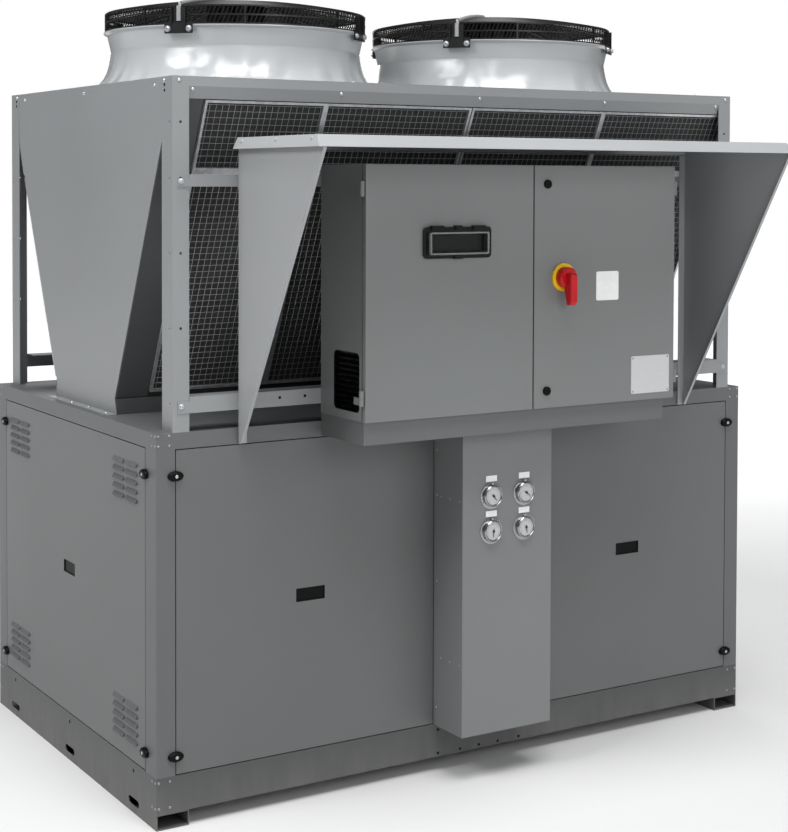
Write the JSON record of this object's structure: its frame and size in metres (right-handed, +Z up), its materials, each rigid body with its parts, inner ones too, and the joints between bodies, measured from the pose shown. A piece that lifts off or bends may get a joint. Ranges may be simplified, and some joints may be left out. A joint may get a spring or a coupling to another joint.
{
  "type": "air source heat pump",
  "caption": "packaged air source heat pump: panelled base cabinet, V of two finned coils, roof fans with guards, hooded electric box with hinged doors",
  "frame": {"origin": "on the floor under the middle of the unit's whole footprint, hood included, on the plane of left-right symmetry", "axes": "+Z up, +X to the right along the front as seen from the front, -Y towards the front with the electric box"},
  "size_m": [2.224, 1.893, 2.43],
  "materials": {
    "cabinet_grey": "satin dark grey powder coat on sheet steel",
    "upper_grey": "satin mid grey powder coat on sheet steel",
    "deck_grey": "satin mid grey powder coat on the fan deck",
    "box_grey": "fine textured grey powder coat",
    "hood_light": "light grey powder coat",
    "shroud_white": "glossy light grey moulded shroud",
    "guard_black": "black coated steel rod",
    "motor_black": "black painted motor casting",
    "rotor_black": "black moulded fan blades on a hub",
    "coil_fins": "dark coated fin block",
    "coil_sheet": "dark coated steel end sheet",
    "galvanised": "galvanised sheet",
    "latch_black": "black moulded plastic",
    "gauge_steel": "polished stainless steel case",
    "dial_white": "off-white enamel dial",
    "label_white": "blank white engraved plate",
    "cover_clear": "clear moulded cover",
    "display_dark": "dark display case",
    "safety_yellow": "yellow switch plate",
    "safety_red": "red moulded handle"
  },
  "bodies": {
    "unit": {"base_skids": "cabinet_grey", "base_beams": "cabinet_grey", "base_floor": "galvanised", "corner_posts": "cabinet_grey", "top_rails": "cabinet_grey", "mullions": "cabinet_grey", "cabinet_lid": "cabinet_grey", "front_panel_left": "cabinet_grey", "front_panel_right": "cabinet_grey", "side_panel_left": "cabinet_grey", "side_panel_right": "cabinet_grey", "back_panels": "cabinet_grey", "panel_handles": "latch_black", "panel_latches": "latch_black", "gauge_duct": "cabinet_grey", "gauge_bodies": "gauge_steel", "gauge_dials": "dial_white", "gauge_labels": "label_white", "frame_posts": "upper_grey", "cross_rails": "upper_grey", "top_beams": "upper_grey", "end_plates": "upper_grey", "coil_front": "coil_fins", "coil_back": "coil_fins", "coil_end_sheets": "coil_sheet", "guard_frames": "galvanised", "drain_tray": "coil_sheet", "fan_deck": "deck_grey", "fan_shrouds": "shroud_white", "fan_guards": "guard_black", "fan_motors": "motor_black", "box_shell": "box_grey", "box_plinth": "cabinet_grey", "box_vents": "latch_black", "mounting_plate": "galvanised", "hinge_pins": "galvanised", "hood_roof": "hood_light", "hood_cheeks": "hood_light"},
    "fan_left": {"fan_rotor_left": "rotor_black"},
    "fan_right": {"fan_rotor_right": "rotor_black"},
    "door_left": {"door_left": "box_grey", "window_frame": "latch_black", "window_cover": "cover_clear", "display_unit": "display_dark"},
    "door_right": {"door_right": "box_grey", "door_locks": "latch_black", "isolator_plate": "safety_yellow"},
    "isolator_handle": {"isolator_handle": "safety_red"}
  },
  "joints": [
    {"name": "fan_left_spin", "type": "hinge", "parent": "unit", "child": "fan_left", "pos_m": [-0.514, 0.2555, 2.29], "axis": [0, 0, 1], "continuous": true},
    {"name": "fan_right_spin", "type": "hinge", "parent": "unit", "child": "fan_right", "pos_m": [0.514, 0.2555, 2.29], "axis": [0, 0, 1], "continuous": true},
    {"name": "door_left_swing", "type": "hinge", "parent": "unit", "child": "door_left", "pos_m": [-0.58, -0.6845, 1.523], "axis": [0, 0, -1], "range_deg": [0, 110]},
    {"name": "door_right_swing", "type": "hinge", "parent": "unit", "child": "door_right", "pos_m": [0.58, -0.6845, 1.523], "axis": [0, 0, 1], "range_deg": [0, 110]},
    {"name": "isolator_turn", "type": "hinge", "parent": "door_right", "child": "isolator_handle", "pos_m": [0.129, -0.7125, 1.552], "axis": [0, -1, 0], "range_deg": [0, 90]}
  ]
}
